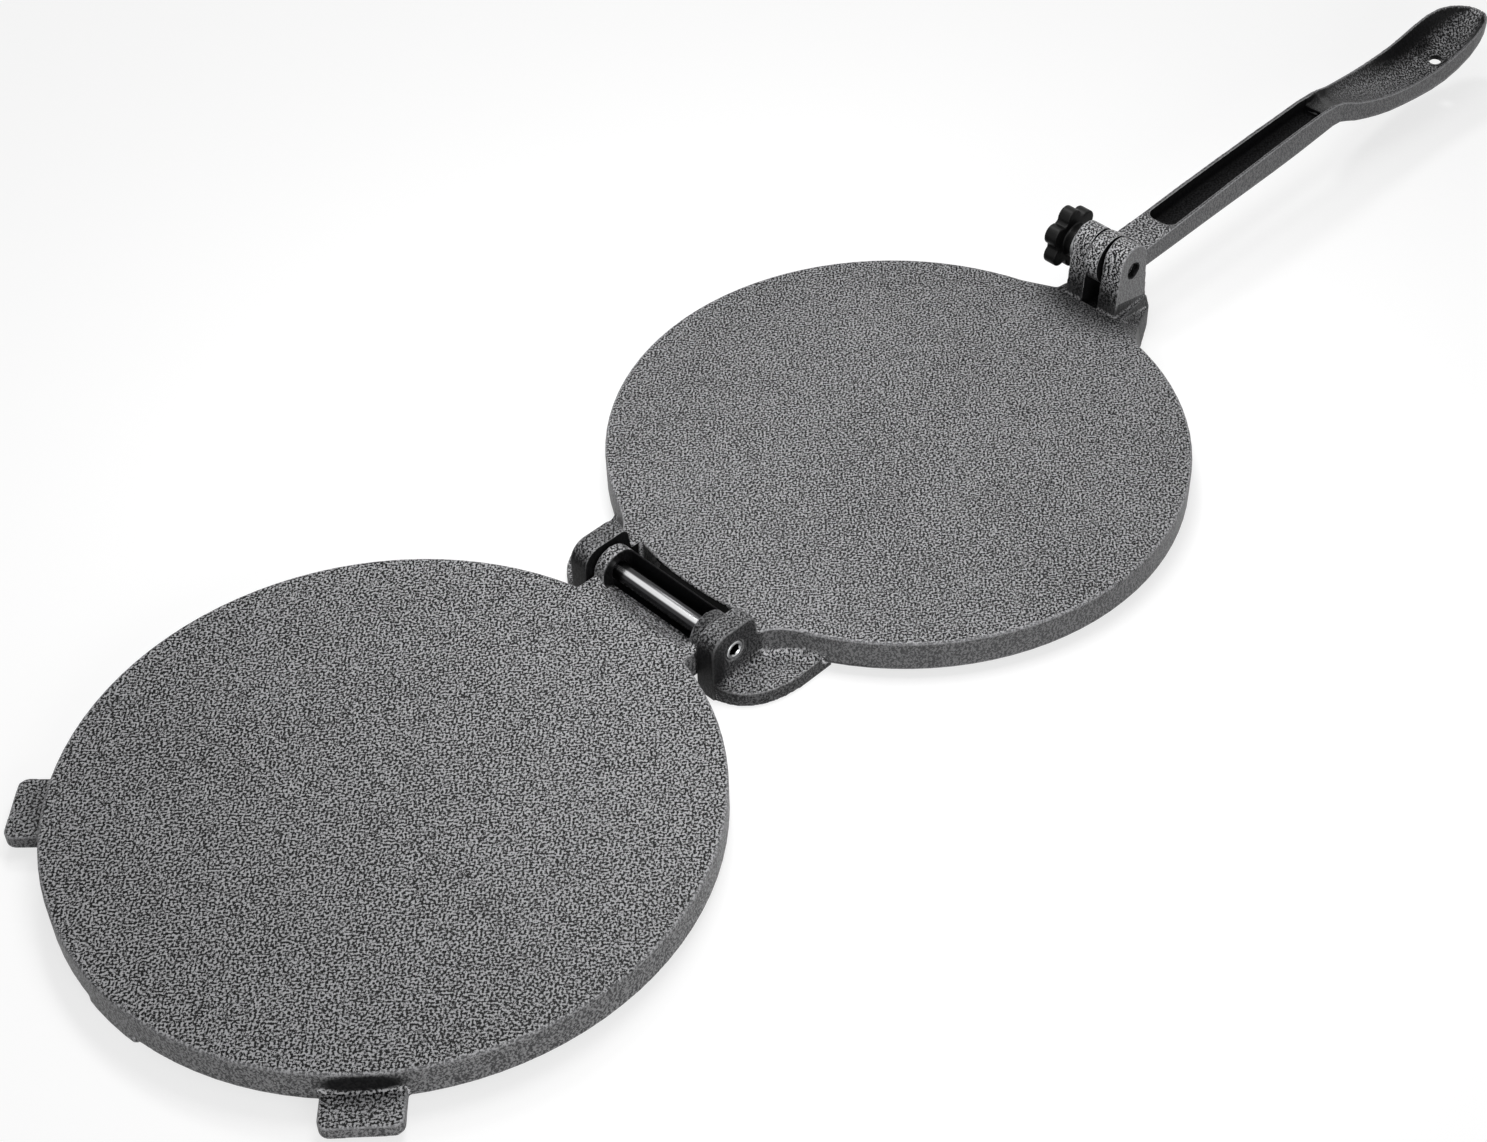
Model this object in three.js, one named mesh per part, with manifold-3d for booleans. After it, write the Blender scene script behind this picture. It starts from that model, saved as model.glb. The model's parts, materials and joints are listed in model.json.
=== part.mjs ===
// A hand tortilla press, lying open and flat: two round cast platens joined by a hinge pin, and a long lever
// that swings over the closed lid and presses on a boss at its front.
// Millimetres, +Z up. While the pieces are made, x = 0 is the hinge pin's axis, y = 0 the press's middle and
// z = 0 the table. The lid lies towards -X, the base and the lever towards +X. The finished group is then
// moved so that its origin is the middle of its footprint, on the table.

import * as THREE from 'three';
import { mergeVertices } from 'three/addons/utils/BufferGeometryUtils.js';
import Module from 'manifold-3d';

const wasm = await Module();
wasm.setup();

// Platens
const platenRadius = 127;
const platenSetback = 14.2; // from the hinge pin's axis to a platen's rim
const pinHeight = 20; // from the table to the hinge pin's axis
const closedGap = 0.5; // left between the two press faces when the lid is shut
const rimHeight = 16;
const plateThickness = 6;
const skirtThickness = 5;
const skirtDraft = 1;
const faceEdge = 0.8; // chamfer round the press face
const rimEdge = 1.6; // chamfer round the rim's lower edge
const platenSides = 96;

// Ribs cast under the platens
const ribThickness = 4;
const ribHeight = 7;
const ringRibRadius = 62;
const hubRibRadius = 20;
const ribTurn = Math.PI / 4; // between two straight ribs
const spineSpread = 10; // from the middle to each of the lid's two long ribs

// Hinge: the base's two ears, the lid's barrel between them, the pin and the screws that shut its bore
const pinRadius = 4.25;
const runningGap = 0.1; // radial, pin to knuckle
const seatGap = 0.3; // between pieces that touch
const barrelRadius = 9.6;
const barrelHalf = 30.5; // from the middle to the barrel's end
const knuckleWidth = 5.5;
const hingeSideGap = 1.4; // barrel end to ear
const earWidth = 9.5;
const earNose = 12.4; // from the pin's axis to the ear's free end
const earTop = 11.2; // from the pin's axis to the ear's top
const earFront = 12.9; // from the pin's axis to the ear's end on the platen side
const earLean = 1; // of that end, from the platen's face up to its rounded corner
const earCorner = 8;
const earFrontCorner = 4.5;
const pocketRadius = 6.8; // round hollow about the pin, between the knuckles
const pocketLip = 5.5; // height of the pocket's wall on the base side, above the pin's axis
const pocketReach = 14; // from the pin's axis to the edge of the lid's face
const pocketSlopeEnd = 5.5; // from the pin's axis to the foot of the slope
const pocketSlopeDrop = 4.5; // from the lid's face to the foot of the slope
const neckDepth = 13; // of the lid's neck below its face
const pinScrewLength = 6;
const pinScrewSocket = 5; // across the flats
const socketDepth = 3.5;

// Wings: the low plates beside the ears that the base stands on
const wingThickness = 7;
const wingHalf = 61; // from the middle to a wing's side
const wingCornerLength = 28.5; // of the curve round a wing's corner, along the press
const wingCornerStart = 5.1; // from an ear's inner face to the start of that curve
const wingCornerInset = 2; // from the square corner to the point that draws the curve out
const wingFillet = 3.5;
const neckFilletShare = 0.61; // of the wing beside an ear, covered by the fillet of the platen's face
const neckFilletRun = 12.3; // of the same fillet, along the ear

// Clevis at the front of the base
const frontSetback = 13.8; // from the base platen's rim to the lever's pivot
const pivotRise = 20.3; // from the hinge pin's axis up to the lever's pivot
const clevisGap = 9; // between the two ears
const clevisNearWidth = 10.5;
const clevisFarWidth = 9.5;
const clevisTopRadius = 9.3;
const clevisCrown = 3.4; // from the pivot up to the centre of the ears' rounded tops
const clevisFoot = 11.4; // half an ear's length where it meets the base's face
const deckEnd = 11.7; // from the pivot back to the end of the base's face
const slotDepth = 5; // of the slot between the ears, below the base's face
const bracketEnd = 15.5; // from the pivot out to the bracket's end, at the table
const bracketTopEnd = 12.5; // the same, at the face
const bracketEndHalf = 15;
const bracketTopHalf = 18.5;
const bracketMiddleHalf = 23.5; // half the foot's width below the pivot
const bracketShoulder = 8; // from the face down to where the bracket's end turns upright
const bracketRootHalf = 36; // half the bracket's width where it leaves the rim
const bracketDraft = 2; // how far the bracket's root narrows up to the face
const bracketDepth = 17; // of the bracket's root inside the rim
const threadRadius = 3.4; // of the open end of the near ear's thread

// Lid: two finger tabs and the boss that the lever presses
const tabAngle = 46.5; // degrees, from the lid's front to each tab
const tabLength = 14.8; // from the lid's rim to a tab's end
const tabWidth = 29.5;
const tabThickness = 5.8;
const tabCorner = 4;
const tabDrop = 9.6; // from the lid's face down to a tab's top
const bossHalf = 13;
const bossLength = 16;

// Lever
const leverReach = 309.5; // from the pivot to the tip
const gripHalf = 16;
const gripDeep = 17;
const rimSwing = 8; // largest rise or fall of the lever's top line from the pivot
const eyeRadius = 12;
const eyeNear = 3; // from the middle to the eye's side nearer the thread
const eyeFar = 4.2;
const eyeSlopeEnd = 18.5; // from the pivot to where the eye's back meets the arm's top
const shoulderRadius = 13.5; // of the arm's shoulder about the pivot
const boreGap = 0.3; // radial, stud to lever and to far ear
const gripLength = 147.5; // from the channel's end to the tip
const channelStart = 37;
const channelDepth = 8;
const channelWall = 1.7;
const channelCorner = 5; // of the channel's plan at its start
const gripWall = 1.9;
const tipWall = 2.2; // from the tip back to where the bowl runs out
const hangHoleRadius = 3.3;
const hangHoleSetback = 36.5; // from the tip

// Clamping knob, its stud and washer
const studRadius = 4;
const studSetback = 3.3; // from the near ear's outer face to the stud's end
const washerThickness = 1.6;
const washerRadius = 8.5;
const hubLength = 4;
const hubRadius = 8;
const headThickness = 6.5;
const headRadius = 15.4;
const headValley = 11.4;
const headEdge = 1;
const lobeCount = 6;
const lobeTurn = 32; // degrees, from +X up to a lobe
const studSeat = 7; // depth of the stud's seat in the knob

const overrun = 2; // of a cutter past the face it cuts through
const roundSides = 32;

// Shape of the lever from the shoulder to the tip. Each row is a cross-section: its place along the reach,
// its half width as a share of the grip's, its top's height over the pivot as a share of the swing, its depth
// as a share of the grip's, and the bowl's depth as a share of the same.
const leverShares = [
  [0.02, 0.594, -0.06, 0.65, 0],
  [0.124, 0.575, 0.15, 0.715, 0],
  [0.222, 0.563, 0.4, 0.79, 0],
  [0.312, 0.544, 0.59, 0.86, 0],
  [0.383, 0.531, 0.72, 0.9, 0],
  [0.447, 0.52, 0.82, 0.905, 0],
  [0.503, 0.52, 0.89, 0.86, 0.22],
  [0.541, 0.525, 0.81, 0.755, 0.26],
  [0.56, 0.545, 0.67, 0.7, 0.28],
  [0.577, 0.595, 0.43, 0.68, 0.29],
  [0.596, 0.67, 0.14, 0.67, 0.29],
  [0.625, 0.755, -0.16, 0.675, 0.29],
  [0.654, 0.825, -0.4, 0.7, 0.31],
  [0.687, 0.885, -0.63, 0.745, 0.37],
  [0.722, 0.93, -0.79, 0.795, 0.47],
  [0.76, 0.96, -0.88, 0.85, 0.6],
  [0.803, 0.985, -0.91, 0.91, 0.75],
  [0.841, 1, -0.79, 0.974, 0.84],
  [0.879, 1, -0.56, 1, 0.865],
  [0.914, 0.965, -0.34, 0.974, 0.84],
  [0.943, 0.865, -0.24, 0.89, 0.73],
  [0.966, 0.715, -0.3, 0.76, 0.53],
  [0.983, 0.53, -0.4, 0.6, 0.33],
  [0.994, 0.33, -0.48, 0.45, 0.12],
  [1, 0.13, -0.53, 0.33, 0.06],
];
const armSquareness = 9;
const gripSquareness = 4;
const squareUntilShare = 0.56; // of the reach: the arm's square section gives way to the grip's round one
const roundFromShare = 0.74;
const sectionSteps = 10;

// Places worked out from the sizes above
const platenOffset = platenRadius + platenSetback; // from the hinge pin's axis to a platen's centre
const pivotOffset = 2 * platenRadius + platenSetback + frontSetback;
const faceHeight = pinHeight - closedGap / 2;
const rimBottom = faceHeight - rimHeight;
const plateBottom = faceHeight - plateThickness;
const earInner = barrelHalf + hingeSideGap;
const earOuter = earInner + earWidth;
const pivotHeight = pinHeight + pivotRise;
const clevisNear = -clevisGap / 2 - clevisNearWidth;
const clevisFar = clevisGap / 2 + clevisFarWidth;
const channelEnd = leverReach - gripLength;

function hammertone(shade) {
  return new THREE.MeshStandardMaterial({ color: shade, roughness: 0.45, metalness: 0.55 });
}

const finishes = {
  base: hammertone(0x6d6e70),
  lid: hammertone(0x6a6b6d),
  lever: hammertone(0x67686a),
  steel: new THREE.MeshStandardMaterial({ color: 0xb9bcc0, roughness: 0.25, metalness: 1 }),
  plastic: new THREE.MeshStandardMaterial({ color: 0x141416, roughness: 0.5, metalness: 0 }),
};

// Makes a closed geometry ready to be joined or cut
function solidOf(geometry) {
  const bare = geometry.clone();
  bare.deleteAttribute('normal');
  bare.deleteAttribute('uv');
  const merged = mergeVertices(bare);
  const corners = merged.index.array;
  const triangles = [];
  for (let i = 0; i < corners.length; i += 3) {
    const [a, b, c] = [corners[i], corners[i + 1], corners[i + 2]];
    if (a !== b && b !== c && c !== a) triangles.push(a, b, c);
  }
  const mesh = new wasm.Mesh({
    numProp: 3,
    vertProperties: Float32Array.from(merged.attributes.position.array),
    triVerts: Uint32Array.from(triangles),
  });
  return new wasm.Manifold(mesh);
}

function geometryOf(solid) {
  const mesh = solid.getMesh();
  const geometry = new THREE.BufferGeometry();
  geometry.setAttribute('position', new THREE.BufferAttribute(mesh.vertProperties, mesh.numProp));
  geometry.setIndex(new THREE.BufferAttribute(mesh.triVerts, 1));
  geometry.computeVertexNormals();
  return geometry;
}

function joinAll(solids) {
  return solids.reduce((whole, next) => whole.add(next));
}

function cutAll(solid, cutters) {
  return cutters.reduce((left, cutter) => left.subtract(cutter), solid);
}

// A slab with its outline in x and y, between two heights
function planSlab(outline, low, high) {
  const options = { depth: high - low, bevelEnabled: false, curveSegments: 8 };
  const geometry = new THREE.ExtrudeGeometry(outline, options);
  geometry.translate(0, 0, low);
  return solidOf(geometry);
}

// A slab with its outline in x and z, between two places across the press
function sideSlab(outline, near, far) {
  const options = { depth: far - near, bevelEnabled: false, curveSegments: 8 };
  const geometry = new THREE.ExtrudeGeometry(outline, options);
  geometry.rotateX(Math.PI / 2);
  geometry.translate(0, far, 0);
  return solidOf(geometry);
}

function block(lowX, highX, lowY, highY, lowZ, highZ) {
  const geometry = new THREE.BoxGeometry(highX - lowX, highY - lowY, highZ - lowZ);
  geometry.translate((lowX + highX) / 2, (lowY + highY) / 2, (lowZ + highZ) / 2);
  return solidOf(geometry);
}

// A round bar across the press
function crossBar(radius, x, z, near, far) {
  const geometry = new THREE.CylinderGeometry(radius, radius, far - near, roundSides);
  geometry.translate(x, (near + far) / 2, z);
  return solidOf(geometry);
}

// A profile of [radius, height] pairs, turned about an upright axis at x
function turned(profile, x) {
  const points = profile.map(([radius, height]) => new THREE.Vector2(radius, height));
  const geometry = new THREE.LatheGeometry(points, platenSides);
  geometry.rotateX(Math.PI / 2);
  geometry.translate(x, 0, 0);
  return solidOf(geometry);
}

function outlineOf(pairs) {
  return new THREE.Shape(pairs.map(([a, b]) => new THREE.Vector2(a, b)));
}

// A skin over rings of points, all with the same count, closed at both ends
function skin(rings) {
  const count = rings[0].length;
  const places = [];
  const triangles = [];
  const centreOf = (ring) => ring.reduce((sum, p) => sum.add(p), new THREE.Vector3()).divideScalar(count);
  rings.forEach((ring) => ring.forEach((p) => places.push(p.x, p.y, p.z)));
  const first = places.length / 3;
  const last = first + 1;
  const end = (rings.length - 1) * count;
  [rings[0], rings[rings.length - 1]].forEach((ring) => places.push(...centreOf(ring).toArray()));
  for (let i = 0; i < count; i += 1) {
    const next = (i + 1) % count;
    triangles.push(first, next, i, last, end + i, end + next);
    for (let r = 0; r < end; r += count) {
      triangles.push(r + i, r + next, r + count + i, r + next, r + count + next, r + count + i);
    }
  }
  const geometry = new THREE.BufferGeometry();
  geometry.setAttribute('position', new THREE.Float32BufferAttribute(places, 3));
  geometry.setIndex(triangles);
  return solidOf(geometry);
}

// One platen, without its fittings: a plate with a skirt under its rim
function platen(x) {
  return turned([
    [0, plateBottom],
    [platenRadius - skirtThickness - skirtDraft, plateBottom],
    [platenRadius - skirtThickness, rimBottom],
    [platenRadius - rimEdge, rimBottom],
    [platenRadius, rimBottom + rimEdge],
    [platenRadius, faceHeight - faceEdge],
    [platenRadius - faceEdge, faceHeight],
    [0, faceHeight],
  ], x);
}

function ringRib(x, radius) {
  return turned([
    [radius, plateBottom + overrun],
    [radius, plateBottom - ribHeight],
    [radius + ribThickness, plateBottom - ribHeight],
    [radius + ribThickness, plateBottom + overrun],
    [radius, plateBottom + overrun],
  ], x);
}

// A straight rib from a distance off the platen's centre out to the skirt
function spokeRib(x, angle, start) {
  const end = platenRadius - skirtThickness / 2;
  const geometry = new THREE.BoxGeometry(end - start, ribThickness, ribHeight + overrun);
  geometry.translate((end + start) / 2, 0, 0);
  geometry.rotateZ(angle);
  geometry.translate(x, 0, plateBottom - (ribHeight - overrun) / 2);
  return solidOf(geometry);
}

// Hinge ear: its free end and its top are square with rounded corners, and its foot runs into the platen
function hingeEar(near) {
  const outline = new THREE.Shape();
  const top = pinHeight + earTop;
  outline.moveTo(-earNose, 0);
  outline.lineTo(platenSetback + earWidth, 0);
  outline.lineTo(platenSetback + earWidth, plateBottom);
  outline.lineTo(earFront, faceHeight);
  outline.lineTo(earFront - earLean, top - earFrontCorner);
  const bend = earFront - earLean - earFrontCorner;
  outline.absarc(bend, top - earFrontCorner, earFrontCorner, 0, Math.PI / 2, false);
  outline.lineTo(earCorner - earNose, top);
  outline.absarc(earCorner - earNose, top - earCorner, earCorner, Math.PI / 2, Math.PI, false);
  return sideSlab(outline, near, near + earWidth);
}

// Plan of a wing on the +Y side, with the face's neck beside the ear
function wingOutline() {
  const meet = platenOffset - Math.sqrt(platenRadius ** 2 - wingHalf ** 2);
  const outline = new THREE.Shape();
  outline.moveTo(-earNose, earInner);
  outline.lineTo(meet + skirtThickness, earInner);
  outline.lineTo(meet + skirtThickness, wingHalf);
  outline.lineTo(wingCornerLength - earNose, wingHalf);
  outline.quadraticCurveTo(
    wingCornerInset - earNose,
    wingHalf - wingCornerInset,
    -earNose,
    earInner + wingCornerStart,
  );
  return outline;
}

function neckOutline() {
  const edge = earOuter + neckFilletShare * (wingHalf - earOuter);
  const rim = platenOffset - Math.sqrt(platenRadius ** 2 - edge ** 2);
  const outline = new THREE.Shape();
  outline.moveTo(earFront, earInner);
  outline.lineTo(rim + skirtThickness, earInner);
  outline.lineTo(rim + skirtThickness, edge);
  outline.lineTo(rim, edge);
  outline.quadraticCurveTo(rim - neckFilletRun / 2, earOuter, earFront, earOuter);
  return outline;
}

// Concave fillet along a wing: at the foot of the ear, and at the foot of the rim
function wingFillets() {
  const steps = [0, 1, 2, 3].map((i) => (i / 3) * (Math.PI / 2));
  const curve = steps.map((a) => [wingFillet * (1 - Math.sin(a)), wingFillet * (1 - Math.cos(a))]);
  const along = new THREE.Shape();
  along.moveTo(-overrun, -overrun);
  along.lineTo(wingFillet, -overrun);
  curve.forEach(([out, up]) => along.lineTo(out, up));
  along.lineTo(-overrun, wingFillet);
  const length = platenSetback + earNose;
  const straight = new THREE.ExtrudeGeometry(along, { depth: length, bevelEnabled: false });
  straight.rotateX(Math.PI / 2);
  straight.rotateZ(Math.PI / 2);
  straight.translate(-earNose, earOuter, wingThickness);
  const ring = turned([
    [platenRadius - overrun, wingThickness - overrun],
    [platenRadius + wingFillet, wingThickness - overrun],
    ...curve.map(([out, up]) => [platenRadius + out, wingThickness + up]),
    [platenRadius - overrun, wingThickness + wingFillet],
    [platenRadius - overrun, wingThickness - overrun],
  ], platenOffset);
  const tall = planSlab(wingOutline(), 0, faceHeight);
  return joinAll([solidOf(straight), ring]).intersect(tall);
}

function mirrored(solid) {
  return solid.mirror([0, 1, 0]);
}

// Side view of the front clevis's ears, grown all round by a clearance
function clevisOutline(clearance) {
  const crown = pivotHeight + clevisCrown;
  const radius = clevisTopRadius + clearance;
  const foot = clevisFoot + clearance;
  const outline = new THREE.Shape();
  outline.moveTo(pivotOffset - foot, plateBottom);
  outline.lineTo(pivotOffset + foot, plateBottom);
  outline.lineTo(pivotOffset + foot, faceHeight);
  outline.absarc(pivotOffset, crown, radius, 0, Math.PI, false);
  outline.lineTo(pivotOffset - foot, faceHeight);
  return outline;
}

// The bracket under the clevis spreads from its narrow top to a wide foot on the table
function bracket() {
  const root = platenOffset + Math.sqrt(platenRadius ** 2 - bracketRootHalf ** 2);
  const inside = root - bracketDepth;
  const ring = (places, height) => [
    ...places.map(([x, y]) => new THREE.Vector3(x, -y, height)),
    ...places.slice().reverse().map(([x, y]) => new THREE.Vector3(x, y, height)),
  ];
  const foot = [
    [inside, bracketRootHalf],
    [root, bracketRootHalf],
    [pivotOffset, bracketMiddleHalf],
    [pivotOffset + bracketEnd, bracketEndHalf],
  ];
  const top = [
    [inside, bracketRootHalf - bracketDraft],
    [root, bracketRootHalf - bracketDraft],
    [pivotOffset - deckEnd, bracketTopHalf],
    [pivotOffset + bracketTopEnd, bracketEndHalf],
  ];
  const shoulder = foot.map(([x, y], i) => [x, (y + top[i][1]) / 2]);
  return skin([ring(foot, 0), ring(shoulder, faceHeight - bracketShoulder), ring(top, faceHeight)]);
}

function makeBase() {
  const hinge = joinAll([
    hingeEar(earInner),
    planSlab(wingOutline(), 0, wingThickness),
    planSlab(neckOutline(), 0, faceHeight),
    wingFillets(),
  ]);
  const hollow = turned([
    [0, -overrun],
    [platenRadius - skirtThickness, -overrun],
    [platenRadius - skirtThickness, rimBottom],
    [platenRadius - skirtThickness - skirtDraft, plateBottom],
    [0, plateBottom],
  ], platenOffset);
  const fittings = joinAll([hinge, mirrored(hinge), bracket()]).subtract(hollow);
  const ears = [
    sideSlab(clevisOutline(0), clevisNear, -clevisGap / 2),
    sideSlab(clevisOutline(0), clevisGap / 2, clevisFar),
  ];
  const ribs = joinAll([
    ringRib(platenOffset, ringRibRadius),
    ringRib(platenOffset, hubRibRadius - ribThickness),
    ...[1, 3, 5, 7].map((i) => spokeRib(platenOffset, i * ribTurn, hubRibRadius - ribThickness / 2)),
  ]);
  const body = joinAll([platen(platenOffset), ribs, fittings, ...ears]);
  const slot = block(
    pivotOffset - deckEnd,
    pivotOffset + bracketEnd + overrun,
    -clevisGap / 2,
    clevisGap / 2,
    faceHeight - slotDepth,
    pivotHeight + clevisCrown + clevisTopRadius + overrun,
  );
  const past = earOuter + overrun;
  const threadEnd = clevisNear + studSetback - seatGap;
  return cutAll(body, [
    slot,
    crossBar(pinRadius + seatGap, 0, pinHeight, -past, past),
    crossBar(studRadius + boreGap, pivotOffset, pivotHeight, threadEnd, clevisFar + overrun),
    crossBar(threadRadius, pivotOffset, pivotHeight, clevisNear - overrun, 0),
  ]);
}

// The hollow between the knuckles: round under the pin, open above, with a slope down from the lid's face
function hingePocket() {
  const lip = Math.sqrt(pocketRadius ** 2 - pocketLip ** 2);
  const open = new THREE.Shape();
  open.moveTo(-pocketReach, faceHeight);
  open.lineTo(-pocketSlopeEnd, faceHeight - pocketSlopeDrop);
  open.absarc(0, pinHeight, pocketRadius, Math.PI * 1.25, Math.PI * 2, false);
  open.lineTo(pocketRadius, pinHeight + barrelRadius + overrun);
  open.lineTo(-pocketReach, pinHeight + barrelRadius + overrun);
  const half = barrelHalf - knuckleWidth;
  return sideSlab(open, -half, half);
}

function makeTab(side) {
  const outline = new THREE.Shape();
  const half = tabWidth / 2;
  const root = platenRadius - skirtThickness;
  const corner = platenRadius + tabLength - tabCorner;
  outline.moveTo(root, -half);
  outline.lineTo(corner, -half);
  outline.absarc(corner, tabCorner - half, tabCorner, -Math.PI / 2, 0, false);
  outline.absarc(corner, half - tabCorner, tabCorner, 0, Math.PI / 2, false);
  outline.lineTo(root, half);
  const top = faceHeight - tabDrop;
  const options = { depth: tabThickness, bevelEnabled: false, curveSegments: 5 };
  const slab = new THREE.ExtrudeGeometry(outline, options);
  slab.rotateZ(Math.PI + side * THREE.MathUtils.degToRad(tabAngle));
  slab.translate(-platenOffset, 0, top - tabThickness);
  return solidOf(slab);
}

// The boss under the lid's front, flush with the rim
function makeBoss() {
  const front = -platenOffset - platenRadius;
  const round = turned([
    [0, 0],
    [platenRadius - rimEdge, 0],
    [platenRadius, rimEdge],
    [platenRadius, plateBottom + overrun],
    [0, plateBottom + overrun],
  ], -platenOffset);
  return round.intersect(block(front, front + bossLength, -bossHalf, bossHalf, 0, plateBottom + overrun));
}

function makeLid() {
  const hollow = platenRadius - skirtThickness;
  const spine = (y) => block(
    -platenOffset - hollow,
    -platenOffset + hollow,
    y - ribThickness / 2,
    y + ribThickness / 2,
    plateBottom - ribHeight,
    plateBottom + overrun,
  );
  const spokes = [1, 2, 3].flatMap((i) => [1, -1].map((side) => {
    const angle = i * ribTurn;
    return spokeRib(-platenOffset, side * angle, spineSpread / Math.sin(angle));
  }));
  const ring = ringRib(-platenOffset, ringRibRadius);
  const ribs = joinAll([ring, spine(spineSpread), spine(-spineSpread), ...spokes]);
  const neck = joinAll([
    crossBar(barrelRadius, 0, pinHeight, -barrelHalf, barrelHalf),
    block(
      platenRadius - platenOffset - skirtThickness,
      -barrelRadius / 2,
      -barrelHalf,
      barrelHalf,
      faceHeight - neckDepth,
      faceHeight,
    ),
  ]);
  const body = joinAll([platen(-platenOffset), ribs, neck, makeBoss(), makeTab(1), makeTab(-1)]);
  return cutAll(body, [
    hingePocket(),
    crossBar(pinRadius + runningGap, 0, pinHeight, -barrelHalf - overrun, barrelHalf + overrun),
  ]);
}

// The lever's shape at a distance from the pivot, read from the table
function leverAt(distance) {
  const share = distance / leverReach;
  const after = Math.max(1, leverShares.findIndex((row) => row[0] >= share));
  const [low, high] = [leverShares[after - 1], leverShares[after]];
  const blend = (share - low[0]) / (high[0] - low[0]);
  const [along, half, rise, deep, bowl] = low.map((value, i) => value + (high[i] - value) * blend);
  return {
    x: along * leverReach,
    half: half * gripHalf,
    top: pivotHeight + rise * rimSwing,
    deep: deep * gripDeep,
    bowl: bowl * gripDeep,
  };
}

function leverStations(start, end) {
  const between = leverShares.map((row) => row[0] * leverReach).filter((x) => x > start && x < end);
  return [start, ...between, end].map(leverAt);
}

function squarenessAt(x) {
  const share = THREE.MathUtils.smoothstep(x / leverReach, squareUntilShare, roundFromShare);
  return armSquareness + (gripSquareness - armSquareness) * share;
}

// One cross-section: flat on top and rounded below, raised by lift above the lever's top
function leverRing(station, half, deep, lift) {
  const power = 2 / squarenessAt(station.x);
  const ring = [];
  for (let i = 0; i <= sectionSteps; i += 1) {
    const angle = (i / sectionSteps) * Math.PI;
    const side = Math.cos(angle);
    const y = -Math.sign(side) * Math.abs(side) ** power * half;
    const z = station.top - Math.sin(angle) ** power * deep;
    ring.push(new THREE.Vector3(pivotOffset + station.x, y, z));
  }
  const right = new THREE.Vector3(pivotOffset + station.x, half, station.top + lift);
  const left = new THREE.Vector3(pivotOffset + station.x, -half, station.top + lift);
  if (lift > 0) ring.push(right, left);
  return ring;
}

// The arm's channel, with the corners of its plan rounded where it starts
function channelCutter() {
  const stations = leverStations(channelStart - overrun, channelEnd);
  const walls = skin(stations.map((s) => leverRing(s, s.half - channelWall, channelDepth, overrun)));
  const start = pivotOffset + channelStart;
  const half = leverAt(channelStart).half - channelWall;
  const plan = new THREE.Shape();
  plan.moveTo(pivotOffset + leverReach, -gripHalf);
  plan.lineTo(start + channelCorner, -gripHalf);
  plan.lineTo(start + channelCorner, -half);
  plan.absarc(start + channelCorner, channelCorner - half, channelCorner, -Math.PI / 2, Math.PI, true);
  plan.absarc(start + channelCorner, half - channelCorner, channelCorner, Math.PI, Math.PI / 2, true);
  plan.lineTo(start + channelCorner, gripHalf);
  plan.lineTo(pivotOffset + leverReach, gripHalf);
  return walls.intersect(planSlab(plan, 0, pivotHeight + gripDeep));
}

// The grip's bowl: the grip's own outline drawn in by its wall, which thins out towards the pointed tip
function bowlCutter() {
  const end = leverReach - tipWall;
  const rings = leverStations(channelEnd - overrun, leverReach).map((s) => {
    const wall = gripWall * Math.min(1, s.half / (gripHalf / 2));
    const inset = { ...s, x: (s.x * end) / leverReach };
    return leverRing(inset, s.half - wall, s.bowl, overrun);
  });
  return skin(rings);
}

function makeLever() {
  const arm = skin(leverStations(leverShares[0][0] * leverReach, leverReach)
    .map((s) => leverRing(s, s.half, s.deep, 0)));
  const root = leverAt(eyeSlopeEnd);
  const slope = outlineOf([
    [pivotOffset, pivotHeight - eyeRadius],
    [pivotOffset + eyeSlopeEnd, root.top - root.deep],
    [pivotOffset + eyeSlopeEnd, root.top],
    [pivotOffset + eyeRadius, pivotHeight + eyeRadius / 2],
    [pivotOffset + eyeRadius / 2, pivotHeight + eyeRadius * Math.sin(Math.PI / 3)],
    [pivotOffset, pivotHeight + eyeRadius],
  ]);
  const gripPast = gripHalf + overrun;
  const shoulders = [
    crossBar(shoulderRadius, pivotOffset, pivotHeight, -gripPast, -eyeNear),
    crossBar(shoulderRadius, pivotOffset, pivotHeight, eyeFar, gripPast),
    sideSlab(clevisOutline(seatGap), -gripPast, -eyeNear),
    sideSlab(clevisOutline(seatGap), eyeFar, gripPast),
  ];
  const eye = joinAll([
    crossBar(eyeRadius, pivotOffset, pivotHeight, -eyeNear, eyeFar),
    sideSlab(slope, -eyeNear, eyeFar),
  ]);
  const hole = new THREE.CylinderGeometry(hangHoleRadius, hangHoleRadius, gripDeep * 2, roundSides);
  hole.rotateX(Math.PI / 2);
  const holeAt = leverReach - hangHoleSetback;
  hole.translate(pivotOffset + holeAt, 0, leverAt(holeAt).top - gripDeep);
  return cutAll(cutAll(arm, shoulders).add(eye), [
    bowlCutter(),
    channelCutter(),
    solidOf(hole),
    crossBar(studRadius + boreGap, pivotOffset, pivotHeight, -gripPast, gripPast),
  ]);
}

// A set screw in an ear, its socket facing out. side is 1 for the ear at +Y.
function makePinScrew(side) {
  const inner = earOuter - pinScrewLength;
  const [near, far] = side > 0 ? [inner, earOuter] : [-earOuter, -inner];
  const body = crossBar(pinRadius, 0, pinHeight, near, far);
  const socketRadius = pinScrewSocket / Math.sqrt(3);
  const socket = new THREE.CylinderGeometry(socketRadius, socketRadius, socketDepth + overrun, 6);
  socket.translate(0, side * (earOuter + (overrun - socketDepth) / 2), pinHeight);
  return body.subtract(solidOf(socket));
}

function makePin() {
  const end = earOuter - pinScrewLength - seatGap;
  return crossBar(pinRadius, 0, pinHeight, -end, end);
}

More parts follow.
